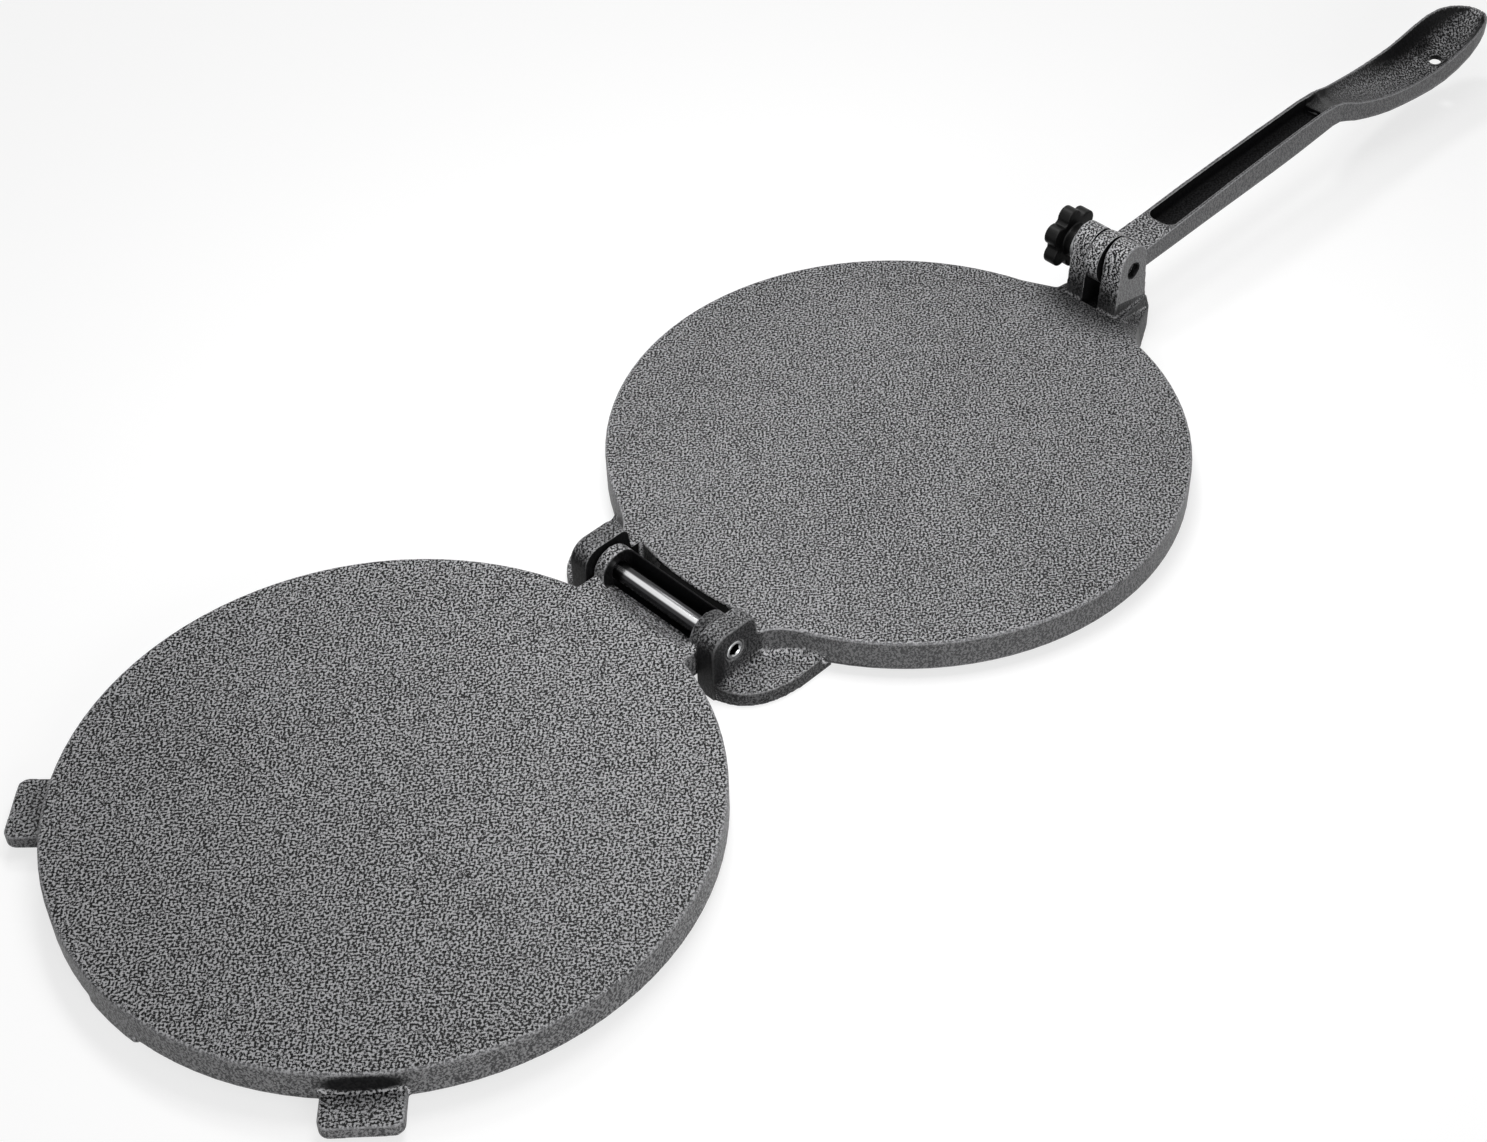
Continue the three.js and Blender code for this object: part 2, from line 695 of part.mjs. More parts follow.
const washerNear = clevisFar + seatGap;
const hubNear = washerNear + washerThickness + seatGap;
const headNear = hubNear + hubLength;

function makeWasher() {
  const disc = crossBar(washerRadius, pivotOffset, pivotHeight, washerNear, washerNear + washerThickness);
  return disc.subtract(crossBar(studRadius + boreGap, pivotOffset, pivotHeight, 0, hubNear));
}

function makeKnobHead() {
  const middle = (headRadius + headValley) / 2;
  const swing = (headRadius - headValley) / 2;
  const steps = lobeCount * 8;
  const outline = new THREE.Shape(Array.from({ length: steps }, (_, i) => {
    const angle = (i / steps) * 2 * Math.PI;
    const turn = angle - THREE.MathUtils.degToRad(lobeTurn);
    const radius = middle - headEdge + swing * Math.cos(lobeCount * turn);
    return new THREE.Vector2(pivotOffset + radius * Math.cos(angle), pivotHeight + radius * Math.sin(angle));
  }));
  const head = new THREE.ExtrudeGeometry(outline, {
    depth: headThickness - 2 * headEdge,
    bevelThickness: headEdge,
    bevelSize: headEdge,
    bevelSegments: 1,
  });
  head.rotateX(Math.PI / 2);
  head.translate(0, headNear + headThickness - headEdge, 0);
  const hub = crossBar(hubRadius, pivotOffset, pivotHeight, hubNear, headNear + headEdge);
  const seatEnd = hubNear + studSeat + seatGap;
  const seat = crossBar(studRadius + seatGap, pivotOffset, pivotHeight, hubNear - overrun, seatEnd);
  return solidOf(head).add(hub).subtract(seat);
}

function makeStud() {
  return crossBar(studRadius, pivotOffset, pivotHeight, clevisNear + studSetback, hubNear + studSeat);
}

function piece(name, solid, finish) {
  const mesh = new THREE.Mesh(geometryOf(solid), finish);
  mesh.name = name;
  return mesh;
}

const press = new THREE.Group();
press.add(
  piece('base_plate', makeBase(), finishes.base),
  piece('lid_plate', makeLid(), finishes.lid),
  piece('lever', makeLever(), finishes.lever),
  piece('hinge_pin', makePin(), finishes.steel),
  piece('pin_screw_near', makePinScrew(-1), finishes.steel),
  piece('pin_screw_far', makePinScrew(1), finishes.steel),
  piece('knob_head', makeKnobHead(), finishes.plastic),
  piece('knob_stud', makeStud(), finishes.steel),
  piece('knob_washer', makeWasher(), finishes.steel),
);

// Bring the origin to the middle of the footprint, on the table
const reach = new THREE.Box3().setFromObject(press);
press.position.set(-(reach.min.x + reach.max.x) / 2, -(reach.min.y + reach.max.y) / 2, -reach.min.z);

export default press;
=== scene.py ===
import bpy, json, math
from mathutils import Matrix, Vector


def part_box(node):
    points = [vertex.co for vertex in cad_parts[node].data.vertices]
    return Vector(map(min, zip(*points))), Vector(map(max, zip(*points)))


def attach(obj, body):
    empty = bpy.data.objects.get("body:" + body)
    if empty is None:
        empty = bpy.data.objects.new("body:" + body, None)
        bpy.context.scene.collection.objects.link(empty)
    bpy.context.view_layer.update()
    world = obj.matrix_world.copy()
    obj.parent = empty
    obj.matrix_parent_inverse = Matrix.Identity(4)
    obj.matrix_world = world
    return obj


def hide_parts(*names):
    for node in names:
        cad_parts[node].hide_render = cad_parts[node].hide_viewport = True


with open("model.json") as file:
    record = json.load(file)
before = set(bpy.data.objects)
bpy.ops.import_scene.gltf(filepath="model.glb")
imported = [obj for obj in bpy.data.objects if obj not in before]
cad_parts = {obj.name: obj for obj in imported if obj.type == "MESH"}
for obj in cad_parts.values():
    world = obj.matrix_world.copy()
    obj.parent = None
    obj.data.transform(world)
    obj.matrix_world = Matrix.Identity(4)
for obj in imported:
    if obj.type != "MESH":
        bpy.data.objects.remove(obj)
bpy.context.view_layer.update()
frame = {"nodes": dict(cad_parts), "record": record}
scene = bpy.context.scene
mm = 0.001

# Where things are, from the frame
record = frame["record"]
hingeAxis = Vector(next(j for j in record["behaviour"]["joints"] if j["name"] == "lid_hinge")["pos_m"])
leverAxis = Vector(next(j for j in record["behaviour"]["joints"] if j["name"] == "lever_pivot")["pos_m"])
faceHeight = next(m for m in record["mounts"] if m["name"] == "base_press_face")["pos_m"][2]


# Materials

def linear(code):
    # sRGB hex to the linear colour that a shader wants
    parts = [int(code[i:i + 2], 16) / 255 for i in (1, 3, 5)]
    return tuple(c / 12.92 if c <= 0.04045 else ((c + 0.055) / 1.055) ** 2.4 for c in parts) + (1,)


def addNode(tree, kind, settings=None, inputs=None):
    # One node, its settings, and its inputs as values or as the sockets that feed them
    node = tree.nodes.new(kind)
    for name, value in (settings or {}).items():
        setattr(node, name, value)
    for name, value in (inputs or {}).items():
        if isinstance(value, bpy.types.NodeSocket):
            tree.links.new(value, node.inputs[name])
        else:
            node.inputs[name].default_value = value
    return node


def setRamp(node, stops):
    ramp = node.color_ramp
    while len(ramp.elements) < len(stops):
        ramp.elements.new(0.5)
    for element, (place, code) in zip(ramp.elements, stops):
        element.position = place
        element.color = linear(code)


def newMaterial(name):
    material = bpy.data.materials.new(name)
    material.use_nodes = True
    tree = material.node_tree
    tree.nodes.clear()
    shader = addNode(tree, "ShaderNodeBsdfPrincipled")
    addNode(tree, "ShaderNodeOutputMaterial", inputs={"Surface": shader.outputs["BSDF"]})
    return material, tree, shader, addNode(tree, "ShaderNodeTexCoord")


# What every look of the enamel shares, including the bends and beads at which its painted edge and corner highlights
# start. Levels are heights of the bead pattern, which lies round 0.5, and bends are what markBends writes
enamelLook = {
    "detail": 2, "beside": ((1, 0, 0.3), (-1, 0, 0.3), (0, 1, -0.3), (0, -1, -0.3)),
    "cloudDetail": 3, "cloudFrom": 0.3, "cloudTo": 0.7, "cloudLevel": 0.5, "cloudSpan": 0.008,
    "midLevel": 0.51, "pitFall": 0.12, "veinFall": 0.05, "flakeRise": 0.1, "sideLevel": 0.5, "sideSpan": 0.06,
    "edgeBendFrom": 0.035, "edgeBendTo": 0.1, "edgeShare": 0.5,
    "cornerBendFrom": -0.015, "cornerBendTo": -0.05, "speckFrom": 0.46, "speckTo": 0.55, "speckShare": 0.9,
    "sideRelief": 0.25, "bump": 0.7,
}
# The lid, with painted shade by the barrel and a painted shadow at the roots of the tabs. The beads have the photo's
# spacing
hammertoneLook = {
    "pit": "#040404", "vein": "#242425", "mid": "#6a6a6b", "flake": "#aaaaac",
    "sideDark": "#3e3e3f", "sideMid": "#626263", "sideLight": "#868687", "edge": "#a8a8aa", "corner": "#dcdcde",
    "beadMm": 1.15, "spreadMm": 0.8, "grit": 0.75, "span": 0.6,
    "cloudMm": 60, "depthMm": 0.1, "roughness": 0.45, "gloss": 0.1,
    "smoothAxis": "Z", "patternedFrom": 0.85, "smoothFrom": 0.25,
    "paintedShadeTone": "#0c0c0d",
    "paintedShadePlaces": [
        {"at": (-165.6, 0, 20), "reach": (17, 34, 16), "core": 0.2, "faces": 0.75, "sides": 0.75},
        {"at": (-161.6, -27, 26), "reach": (13, 8, 12), "core": 0.3, "faces": 0.75, "sides": 0.75},
        {"at": (-390.3, 92.1, 14), "reach": (19, 19, 6), "core": 0.6, "faces": 0.25, "sides": 0.95},
        {"at": (-390.3, -92.1, 14), "reach": (19, 19, 6), "core": 0.6, "faces": 0.25, "sides": 0.95},
    ],
}


def hammertone(name, look):
    # Silver-grey hammertone enamel, sprayed and stoved over cast metal: it draws up into small crooked light beads
    # with dark pits between them on the faces and runs smoother down the sides. Pale lines over sharp edges and
    # bright specks in corners are painted highlights, and the listed places get painted shade
    material, tree, shader, coord = newMaterial(name)
    place = coord.outputs["Object"]
    grain = {"Scale": 1 / (look["beadMm"] * mm), "Detail": enamelLook["detail"], "Roughness": look["grit"]}
    centre = addNode(tree, "ShaderNodeTexNoise", inputs={"Vector": place, **grain})
    around = None
    for side in enamelLook["beside"]:
        # The mean of four places round each one, taken away, leaves beads of one size
        beside = addNode(tree, "ShaderNodeVectorMath", {"operation": "ADD"}, {
            0: place, 1: tuple(look["spreadMm"] * mm * part for part in side)})
        sample = addNode(tree, "ShaderNodeTexNoise", inputs={
            "Vector": beside.outputs["Vector"], **grain}).outputs["Fac"]
        around = sample if around is None else addNode(
            tree, "ShaderNodeMath", {"operation": "ADD"}, {0: around, 1: sample}).outputs["Value"]
    beads = addNode(tree, "ShaderNodeMath", {"operation": "MULTIPLY_ADD"}, {
        0: around, 1: -1 / len(enamelLook["beside"]), 2: centre.outputs["Fac"]})
    clouds = addNode(tree, "ShaderNodeTexNoise", inputs={
        "Vector": place, "Scale": 1 / (look["cloudMm"] * mm), "Detail": enamelLook["cloudDetail"]})
    drift = addNode(tree, "ShaderNodeMapRange", inputs={
        "Value": clouds.outputs["Fac"], "From Min": enamelLook["cloudFrom"], "From Max": enamelLook["cloudTo"],
        "To Min": enamelLook["cloudLevel"] - enamelLook["cloudSpan"],
        "To Max": enamelLook["cloudLevel"] + enamelLook["cloudSpan"]})
    height = addNode(tree, "ShaderNodeMath", {"operation": "ADD"}, {
        0: beads.outputs["Value"], 1: drift.outputs["Result"]})

    # Beads on the faces; on the sides a calmer tone, partly the enamel's smoother run and partly painted light and
    # shade
    facing = addNode(tree, "ShaderNodeSeparateXYZ", inputs={"Vector": coord.outputs["Normal"]})
    flatness = addNode(tree, "ShaderNodeMath", {"operation": "ABSOLUTE"}, {0: facing.outputs[look["smoothAxis"]]})
    smooth = addNode(tree, "ShaderNodeMapRange", inputs={
        "Value": flatness.outputs["Value"], "From Min": look["patternedFrom"], "From Max": look["smoothFrom"]})
    faceTone = addNode(tree, "ShaderNodeValToRGB", inputs={"Fac": height.outputs["Value"]})
    setRamp(faceTone, [
        (enamelLook["midLevel"] - enamelLook["pitFall"] * look["span"], look["pit"]),
        (enamelLook["midLevel"] - enamelLook["veinFall"] * look["span"], look["vein"]),
        (enamelLook["midLevel"], look["mid"]),
        (enamelLook["midLevel"] + enamelLook["flakeRise"] * look["span"], look["flake"])])
    sideTone = addNode(tree, "ShaderNodeValToRGB", inputs={"Fac": height.outputs["Value"]})
    setRamp(sideTone, [
        (enamelLook["sideLevel"] - enamelLook["sideSpan"], look["sideDark"]),
        (enamelLook["sideLevel"], look["sideMid"]),
        (enamelLook["sideLevel"] + enamelLook["sideSpan"], look["sideLight"])])
    tone = addNode(tree, "ShaderNodeMix", {"data_type": "RGBA"}, {
        0: smooth.outputs["Result"], 6: faceTone.outputs["Color"], 7: sideTone.outputs["Color"]})

    # Painted highlights: pale over sharp edges, brightly speckled in corners
    bend = addNode(tree, "ShaderNodeAttribute", {"attribute_name": "bend"})
    sharp = addNode(tree, "ShaderNodeMapRange", inputs={
        "Value": bend.outputs["Fac"], "From Min": enamelLook["edgeBendFrom"], "From Max": enamelLook["edgeBendTo"],
        "To Max": enamelLook["edgeShare"]})
    edged = addNode(tree, "ShaderNodeMix", {"data_type": "RGBA"}, {
        0: sharp.outputs["Result"], 6: tone.outputs[2], 7: linear(look["edge"])})
    cornerHighlight = addNode(tree, "ShaderNodeMapRange", inputs={
        "Value": bend.outputs["Fac"], "From Min": enamelLook["cornerBendFrom"],
        "From Max": enamelLook["cornerBendTo"]})
    bright = addNode(tree, "ShaderNodeMapRange", inputs={
        "Value": height.outputs["Value"], "From Min": enamelLook["speckFrom"], "From Max": enamelLook["speckTo"],
        "To Max": enamelLook["speckShare"]})
    speckled = addNode(tree, "ShaderNodeMath", {"operation": "MULTIPLY"}, {
        0: cornerHighlight.outputs["Result"], 1: bright.outputs["Result"]})
    colour = addNode(tree, "ShaderNodeMix", {"data_type": "RGBA"}, {
        0: speckled.outputs["Value"], 6: edged.outputs[2], 7: linear(look["corner"])}).outputs[2]

    for spot in look["paintedShadePlaces"]:
        # Painted shade: each place darkens towards the shade tone, by its own shares on faces and on sides
        reach = [part * mm for part in spot["reach"]]
        away = addNode(tree, "ShaderNodeMapping", inputs={
            "Vector": place, "Scale": tuple(1 / part for part in reach),
            "Location": tuple(-at * mm / part for at, part in zip(spot["at"], reach))})
        far = addNode(tree, "ShaderNodeVectorMath", {"operation": "LENGTH"}, {0: away.outputs["Vector"]})
        shadeFalloff = addNode(tree, "ShaderNodeMapRange", {"interpolation_type": "SMOOTHSTEP"}, {
            "Value": far.outputs["Value"], "From Min": 1, "From Max": spot["core"]})
        amount = addNode(tree, "ShaderNodeMapRange", inputs={
            "Value": smooth.outputs["Result"], "To Min": spot["faces"], "To Max": spot["sides"]})
        share = addNode(tree, "ShaderNodeMath", {"operation": "MULTIPLY"}, {
            0: shadeFalloff.outputs["Result"], 1: amount.outputs["Result"]})
        colour = addNode(tree, "ShaderNodeMix", {"data_type": "RGBA"}, {
            0: share.outputs["Value"], 6: colour, 7: linear(look["paintedShadeTone"])}).outputs[2]

    relief = addNode(tree, "ShaderNodeMapRange", inputs={
        "Value": smooth.outputs["Result"], "To Min": 1, "To Max": enamelLook["sideRelief"]})
    swell = addNode(tree, "ShaderNodeMath", {"operation": "MULTIPLY"}, {
        0: height.outputs["Value"], 1: relief.outputs["Result"]})
    bump = addNode(tree, "ShaderNodeBump", inputs={
        "Strength": enamelLook["bump"], "Distance": look["depthMm"] * mm, "Height": swell.outputs["Value"]})
    tree.links.new(colour, shader.inputs["Base Color"])
    tree.links.new(bump.outputs["Normal"], shader.inputs["Normal"])
    shader.inputs["Roughness"].default_value = look["roughness"]
    shader.inputs["Specular IOR Level"].default_value = look["gloss"]
    return material


# What every steel piece shares: a grain that is fine along the bar and long round it, which makes rings, and where a
# painted highlight line lies and how wide it is
steelLook = {
    "stretch": (0.15, 6, 0.15), "detail": 4, "smoothest": 0.8, "roughest": 1.3, "bump": 0.15, "depthMm": 0.01,
    "highlightTowards": (-0.47, 0, 0.88), "highlightFrom": 0.95, "highlightTo": 0.985,
}


def turnedSteel(name, look):
    # Turned or ground steel with a metal's shine, broken by fine rings from the wheel. One can have a highlight
    # painted as a bright line along its upper side
    material, tree, shader, coord = newMaterial(name)
    turned = addNode(tree, "ShaderNodeMapping", inputs={
        "Vector": coord.outputs["Object"], "Scale": steelLook["stretch"]})
    rings = addNode(tree, "ShaderNodeTexNoise", inputs={
        "Vector": turned.outputs["Vector"], "Scale": 1 / (look["grainMm"] * steelLook["stretch"][1] * mm),
        "Detail": steelLook["detail"]})
    gloss = addNode(tree, "ShaderNodeMapRange", inputs={
        "Value": rings.outputs["Fac"], "To Min": look["roughness"] * steelLook["smoothest"],
        "To Max": look["roughness"] * steelLook["roughest"]})
    bump = addNode(tree, "ShaderNodeBump", inputs={
        "Strength": steelLook["bump"], "Distance": steelLook["depthMm"] * mm, "Height": rings.outputs["Fac"]})
    tree.links.new(gloss.outputs["Result"], shader.inputs["Roughness"])
    tree.links.new(bump.outputs["Normal"], shader.inputs["Normal"])
    shader.inputs["Base Color"].default_value = linear(look["colour"])
    shader.inputs["Metallic"].default_value = 1
    if "paintedHighlight" in look:
        towards = addNode(tree, "ShaderNodeVectorMath", {"operation": "DOT_PRODUCT"}, {
            0: coord.outputs["Normal"], 1: steelLook["highlightTowards"]})
        paintedHighlight = addNode(tree, "ShaderNodeMapRange", inputs={
            "Value": towards.outputs["Value"], "From Min": steelLook["highlightFrom"], "From Max": steelLook["highlightTo"]})
        colour = addNode(tree, "ShaderNodeMix", {"data_type": "RGBA"}, {
            0: paintedHighlight.outputs["Result"], 6: linear(look["colour"]), 7: linear(look["paintedHighlight"])})
        tree.links.new(colour.outputs[2], shader.inputs["Base Color"])
    return material


def mouldedPlastic(name, look):
    # Black nylon, injection moulded in a spark-eroded tool: a fine even grain that dulls the shine
    material, tree, shader, coord = newMaterial(name)
    grain = addNode(tree, "ShaderNodeTexNoise", inputs={
        "Vector": coord.outputs["Object"], "Scale": 1 / (look["grainMm"] * mm), "Detail": look["detail"]})
    gloss = addNode(tree, "ShaderNodeMapRange", inputs={
        "Value": grain.outputs["Fac"], "To Min": look["smoothest"], "To Max": look["roughest"]})
    bump = addNode(tree, "ShaderNodeBump", inputs={
        "Strength": look["bump"], "Distance": look["depthMm"] * mm, "Height": grain.outputs["Fac"]})
    tree.links.new(gloss.outputs["Result"], shader.inputs["Roughness"])
    tree.links.new(bump.outputs["Normal"], shader.inputs["Normal"])
    shader.inputs["Base Color"].default_value = linear(look["colour"])
    shader.inputs["IOR"].default_value = look["ior"]
    shader.inputs["Specular IOR Level"].default_value = look["gloss"]
    return material


# The base, sprayed finer than the lid, with painted shade round the clevis and the hinge ears
fineLook = {
    **hammertoneLook, "pit": "#0c0c0d", "vein": "#2e2e2f", "mid": "#6c6c6d", "flake": "#a4a4a6",
    "sideDark": "#464647", "sideMid": "#5c5c5d", "sideLight": "#747475", "spreadMm": 0.75, "span": 0.85,
    "paintedShadePlaces": [
        {"at": (113, 0, 17), "reach": (31, 50, 26), "core": 0.2, "faces": 0.8, "sides": 0.85},
        {"at": (-160, 38, 26), "reach": (24, 12, 14), "core": 0.2, "faces": 0.5, "sides": 0.4},
        {"at": (-160, -38, 26), "reach": (24, 12, 14), "core": 0.2, "faces": 0.5, "sides": 0.4},
        {"at": (-173, 38, 15), "reach": (9, 16, 19), "core": 0.4, "faces": 0.85, "sides": 0.85},
        {"at": (-173, -38, 15), "reach": (9, 16, 19), "core": 0.4, "faces": 0.85, "sides": 0.85},
    ]}
# Painted shade: dark sides of the hinge ears, wings and bracket
shadeLook = {
    **fineLook, "sideDark": "#1c1c1d", "sideMid": "#39393a", "sideLight": "#565657", "edge": "#909091"}
# The rounded tops of the clevis ears and the lever's eye, where it ran thick and shines, its paler beads partly
# painting that sparkle, and with painted shade low on the clevis's fronts
shinyLook = {
    **hammertoneLook, "mid": "#5a5a5b", "flake": "#b8b8ba", "depthMm": 0.3, "roughness": 0.33, "gloss": 0.15,
    "sideDark": "#5c5c5d", "sideMid": "#6c6c6d", "sideLight": "#7c7c7d",
    "smoothAxis": "Y", "patternedFrom": 0.4, "smoothFrom": 0.85,
    "paintedShadePlaces": [{"at": (109, 0, 18), "reach": (19, 40, 25), "core": 0.35, "faces": 0.92, "sides": 0}]}
# Near black: painted shade in slots and gaps, and in the arm's channel partly painted shade, partly a dark coat
recessLook = {
    **hammertoneLook, "pit": "#080808", "vein": "#101011", "mid": "#19191a", "flake": "#222223", "edge": "#242425",
    "corner": "#0c0c0d", "sideDark": "#0c0c0d", "sideMid": "#111112", "sideLight": "#161617", "roughness": 0.6,
    "gloss": 0.04}
# The grip's bowl and the pocket in the lid's barrel: painted shade on the walls and towards the arm, pale beads as
# painted glints
bowlLook = {
    **hammertoneLook, "pit": "#020202", "vein": "#0b0b0c", "mid": "#444445", "flake": "#b0b0b2", "edge": "#4c4c4d",
    "corner": "#202021", "sideDark": "#0c0c0c", "sideMid": "#141415", "sideLight": "#1c1c1d", "depthMm": 0.3,
    "roughness": 0.3, "gloss": 0.12, "smoothAxis": "Z", "patternedFrom": 0.85, "smoothFrom": 0.5,
    "paintedShadePlaces": [{"at": (285, 0, 50), "reach": (85, 40, 40), "core": 0.2, "faces": 0.9, "sides": 0.9}]}
# The lever's arm and grip outside, and the calm top of its rim
armLook = {**hammertoneLook, "sideDark": "#525253", "sideMid": "#646465", "sideLight": "#767677"}
rimLook = {**hammertoneLook, "pit": "#3c3c3d", "vein": "#4c4c4d", "mid": "#606061", "flake": "#747475"}

# The hinge pin, ground and polished: its dark colour paints a reflection, and a bright painted highlight runs along
# it
pinSteelLook = {"colour": "#3a3a3b", "roughness": 0.2, "grainMm": 0.12, "paintedHighlight": "#dcdcdd"}
# The screws, stud and washer, zinc plated: pale grey with a soft shine
platedSteelLook = {"colour": "#b4b5b6", "roughness": 0.34, "grainMm": 0.3}
# The set screws' sockets: dark, as painted shade inside them, and nearly dull
socketShadeSteelLook = {"colour": "#141415", "roughness": 0.5, "grainMm": 0.3}
knobPlasticLook = {
    "colour": "#030303", "grainMm": 0.25, "detail": 2, "smoothest": 0.35, "roughest": 0.5, "bump": 0.2,
    "depthMm": 0.02, "ior": 1.53, "gloss": 0.15,
}

castEnamel = hammertone("hammertoneEnamel", hammertoneLook)
fineEnamel = hammertone("hammertoneEnamelFineWithPaintedShade", fineLook)
shadeEnamel = hammertone("hammertoneEnamelInShade", shadeLook)
shinyEnamel = hammertone("hammertoneEnamelRunThick", shinyLook)
recessEnamel = hammertone("hammertoneEnamelInRecess", recessLook)
bowlEnamel = hammertone("hammertoneEnamelInBowl", bowlLook)
armEnamel = hammertone("hammertoneEnamelOnArm", armLook)
rimEnamel = hammertone("hammertoneEnamelOnRim", rimLook)
pinSteel = turnedSteel("groundSteel", pinSteelLook)
platedSteel = turnedSteel("zincPlatedSteel", platedSteelLook)
socketShadeSteel = turnedSteel("socketShadeSteel", socketShadeSteelLook)
knobPlastic = mouldedPlastic("mouldedNylon", knobPlasticLook)
print("materials ready")


# Modelling helpers

# The weld joins the CAD's loose triangles, each pass of smoothing moves a vertex its share of the way, and cutters
# and hubs reach pastMm beyond the face they meet
meshLook = {"weldMm": 0.001, "smoothShare": 0.5, "smoothAngle": 30, "edgeBend": 0.03, "cornerPasses": 3, "pastMm": 1}


def deselectAll():
    if bpy.context.object and bpy.context.object.mode != "OBJECT":
        bpy.ops.object.mode_set(mode="OBJECT")
    bpy.ops.object.select_all(action="DESELECT")


def pick(piece):
    deselectAll()
    piece.select_set(True)
    bpy.context.view_layer.objects.active = piece


def applyModifier(piece, kind, settings):
    pick(piece)
    modifier = piece.modifiers.new(kind.lower(), kind)
    for name, value in settings.items():
        setattr(modifier, name, value)
    bpy.ops.object.modifier_apply(modifier=modifier.name)


def settle(piece):
    # Puts the piece's place in its mesh, with its object at the origin
    pick(piece)
    bpy.ops.object.transform_apply(location=True, rotation=True, scale=True)


def finishPiece(piece, body, material, nodes):
    piece.data.materials.clear()
    for one in material if isinstance(material, list) else [material]:
        piece.data.materials.append(one)
    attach(piece, body)
    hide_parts(*nodes)


def markBends(piece):
    # Writes how sharply the surface bends at each vertex, above 0 over an edge and below 0 in a corner, for the
    # enamel's painted edge and corner highlights to follow
    vertices = piece.data.vertices
    total = [0] * len(vertices)
    count = [0] * len(vertices)
    for edge in piece.data.edges:
        for i, j in (tuple(edge.vertices), tuple(edge.vertices)[::-1]):
            along = vertices[i].co - vertices[j].co
            total[i] += vertices[i].normal.dot(along.normalized())
            count[i] += 1
    sharp = [t / max(c, 1) for t, c in zip(total, count)]
    wide = sharp
    for _ in range(meshLook["cornerPasses"]):
        # The painted corner highlights spread over a wider band than the edge highlights
        total = list(wide)
        for edge in piece.data.edges:
            i, j = edge.vertices
            total[i] += wide[j]
            total[j] += wide[i]
        wide = [t / (c + 1) for t, c in zip(total, count)]
    bend = piece.data.attributes.new("bend", "FLOAT", "POINT")
    bend.data.foreach_set("value", [
        own if own > meshLook["edgeBend"] else min(own, near) for own, near in zip(sharp, wide)])


def soften(piece, look):
    # An even skin over the shape, smoothed and then thinned to its share of triangles. It is all quads at first
    applyModifier(piece, "REMESH", {"mode": "VOXEL", "voxel_size": look["voxelMm"] * mm})
    applyModifier(piece, "SMOOTH", {"factor": meshLook["smoothShare"], "iterations": look["smoothing"]})
    triangles = len(piece.data.polygons) * 2
    if triangles > look["triangles"]:
        applyModifier(piece, "DECIMATE", {"ratio": look["triangles"] / triangles})


def castSkin(nodeName, name, look):
    # The casting's solid with the soft edges and filled corners that sand moulds and enamel give
    source = frame["nodes"][nodeName]
    piece = bpy.data.objects.new(name, source.data.copy())
    scene.collection.objects.link(piece)
    pick(piece)
    bpy.ops.object.mode_set(mode="EDIT")
    bpy.ops.mesh.select_all(action="SELECT")
    bpy.ops.mesh.remove_doubles(threshold=meshLook["weldMm"] * mm)
    bpy.ops.object.mode_set(mode="OBJECT")
    soften(piece, look)
    pick(piece)
    bpy.ops.object.shade_smooth()
    return piece


def paint(piece, slot, test):
    # Gives a material slot to the faces that pass a test on their middle and their normal
    for face in piece.data.polygons:
        if test(face.center, face.normal):
            face.material_index = slot


def roundBar(name, radius, near, far, axis, sides):
    # A round bar along the press's Y, about an axis
    deselectAll()
    bpy.ops.mesh.primitive_cylinder_add(
        vertices=sides, radius=radius, depth=far - near,
        location=(axis.x, (near + far) / 2, axis.z), rotation=(math.pi / 2, 0, 0))
    piece = bpy.context.object
    piece.name = name
    settle(piece)
    return piece


def cutAway(piece, cutter):
    applyModifier(piece, "BOOLEAN", {"operation": "DIFFERENCE", "object": cutter, "solver": "EXACT"})
    bpy.data.objects.remove(cutter)


def breakEdges(piece, look):
    applyModifier(piece, "BEVEL", {
        "width": look["edgeMm"] * mm, "segments": look["edgeSteps"], "limit_method": "ANGLE"})


def smoothByAngle(piece, degrees):
    pick(piece)
    bpy.ops.object.shade_smooth_by_angle(angle=math.radians(degrees))


# Base: the lower platen with its hinge ears, wings, bracket and clevis. The sizes after the first line say where each
# material ends, painted shade among them, and a facing is the least that a normal has to turn that way

baseLook = {
    "voxelMm": 0.5, "smoothing": 4, "triangles": 190000,
    "slotHalfMm": 4.7, "slotStartMm": 12, "slotFloorMm": 5.3, "slotFacing": -0.7,
    "earFaceMm": 32.1, "earTopMm": 12, "earFacing": 0.5, "gapEndMm": 16, "lipMm": 0.8,
    "clevisHalfMm": 14, "clevisFootMm": 4, "bracketEndMm": 16, "bracketTopMm": 0.8,
    "hingeEndMm": 15, "wingTopMm": 7.6, "wingEndMm": 42, "mouthMm": 4.3, "mouthYMm": -12,
}
basePlate = castSkin("base_plate", "basePlate", baseLook)
markBends(basePlate)
finishPiece(
    basePlate, "base", [fineEnamel, recessEnamel, shinyEnamel, shadeEnamel], ["base_plate"])


